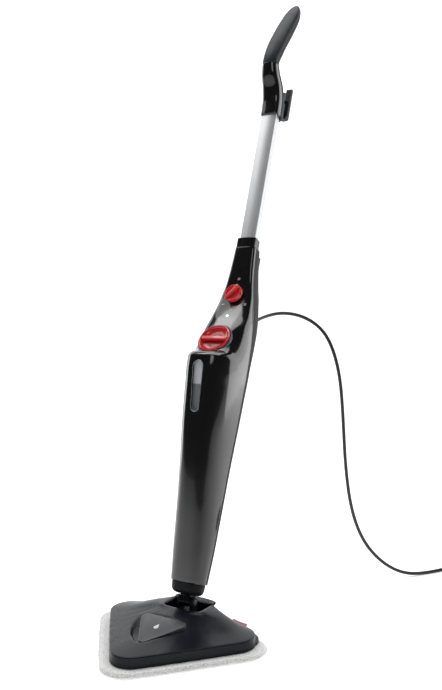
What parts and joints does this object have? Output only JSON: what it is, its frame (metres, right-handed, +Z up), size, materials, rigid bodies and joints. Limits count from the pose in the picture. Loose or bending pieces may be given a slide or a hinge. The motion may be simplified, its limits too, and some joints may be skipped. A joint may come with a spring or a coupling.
{
  "type": "steam mop",
  "caption": "Upright steam mop with a delta head, cleaning pad, cardan joint, water tank with turning cap, steam dial, oval tube, bent grip, cord hooks and coiled mains cord.",
  "frame": {"origin": "on the floor under the tilt hinge, in the symmetry plane", "axes": "+Z up, -Y towards the head's tip, +X to the right seen from the front"},
  "size_m": [0.5875, 0.8465, 1.1832],
  "materials": {
    "black_gloss": "polished",
    "grey_satin": "satin",
    "head_black": "satin",
    "soft_grip": "matte",
    "red_gloss": "polished",
    "tube_silver": "anodised satin",
    "steel": "machined",
    "brass": "machined",
    "boiler_cast": "cast",
    "clear_lens": "polished",
    "tank_clear": "translucent",
    "white_plastic": "moulded",
    "seal_rubber": "matte",
    "silicone": "matte",
    "cord_black": "matte",
    "pad_fabric": "looped pile",
    "hook_fabric": "hook tape",
    "tag_fabric": "woven",
    "badge_grey": "satin",
    "board_green": "solder mask",
    "led_white": "diffuse"
  },
  "bodies": {
    "head": {"cleaning_pad": "pad_fabric", "pad_tag": "tag_fabric", "grip_strips": "hook_fabric", "sole_plate": "grey_satin", "steam_nozzles": "brass", "steam_manifold": "white_plastic", "head_shell": "head_black", "sole_screws": "steel", "badge_bezel": "head_black", "head_badge": "badge_grey", "swivel_bracket": "grey_satin", "swivel_pin": "steel", "joint_hose": "silicone"},
    "cradle": {"hinge_cradle": "grey_satin", "tilt_pin": "steel", "cord_coil": "cord_black", "cord_tie": "seal_rubber", "mains_plug": "cord_black", "plug_pins": "steel"},
    "housing": {"mains_cord": "cord_black", "neck": "grey_satin", "base_cap": "grey_satin", "front_housing": "black_gloss", "control_panel": "black_gloss", "window_lens": "clear_lens", "rear_housing": "grey_satin", "housing_screws": "steel", "water_tank": "tank_clear", "filler_neck": "tank_clear", "cap_surround": "badge_grey", "dial_switch": "white_plastic", "led_lens": "led_white", "control_board": "board_green", "pump": "steel", "pump_mount": "seal_rubber", "boiler": "boiler_cast", "thermostat": "steel", "suction_hose": "silicone", "pressure_hose": "silicone", "steam_hose": "silicone", "extension_tube": "tube_silver", "top_collar": "grey_satin", "tube_latch": "steel", "lower_cord_hook": "grey_satin", "handle_front": "black_gloss", "handle_rear": "grey_satin", "grip_pad": "soft_grip", "hook_bracket": "grey_satin", "hook_pivot": "steel", "handle_screws": "steel", "cord_gland": "cord_black"},
    "cap_seat": {"cap_seal": "seal_rubber"},
    "cap": {"tank_cap": "red_gloss", "cap_plug": "red_gloss"},
    "steam_dial": {"control_knob": "red_gloss", "knob_shaft": "white_plastic"},
    "cord_hook": {"upper_cord_hook": "grey_satin"}
  },
  "joints": [
    {"name": "head_swivel", "type": "hinge", "parent": "head", "child": "cradle", "pos_m": [0, 0, 0.032], "axis": [0, 1, 0], "range_deg": [-28, 28]},
    {"name": "stick_tilt", "type": "hinge", "parent": "cradle", "child": "housing", "pos_m": [0, 0, 0.054], "axis": [-1, 0, 0], "range_deg": [-18.5, 60], "deforming": ["joint_hose", "mains_cord"]},
    {"name": "cap_lift", "type": "slide", "parent": "housing", "child": "cap_seat", "axis": [0, -0.7254, 0.6884], "range_m": [0, 0.035]},
    {"name": "cap_turn", "type": "hinge", "parent": "cap_seat", "child": "cap", "pos_m": [0, 0.09048, 0.50563], "axis": [0, -0.7254, 0.6884], "range_deg": [0, 90]},
    {"name": "dial_turn", "type": "hinge", "parent": "housing", "child": "steam_dial", "pos_m": [0, 0.16055, 0.58552], "axis": [0, -0.8704, 0.4924], "range_deg": [-210, 0]},
    {"name": "cord_hook_turn", "type": "hinge", "parent": "housing", "child": "cord_hook", "pos_m": [0, 0.35363, 0.96592], "axis": [0, 0.3173, 0.9483], "range_deg": [0, 180]}
  ]
}
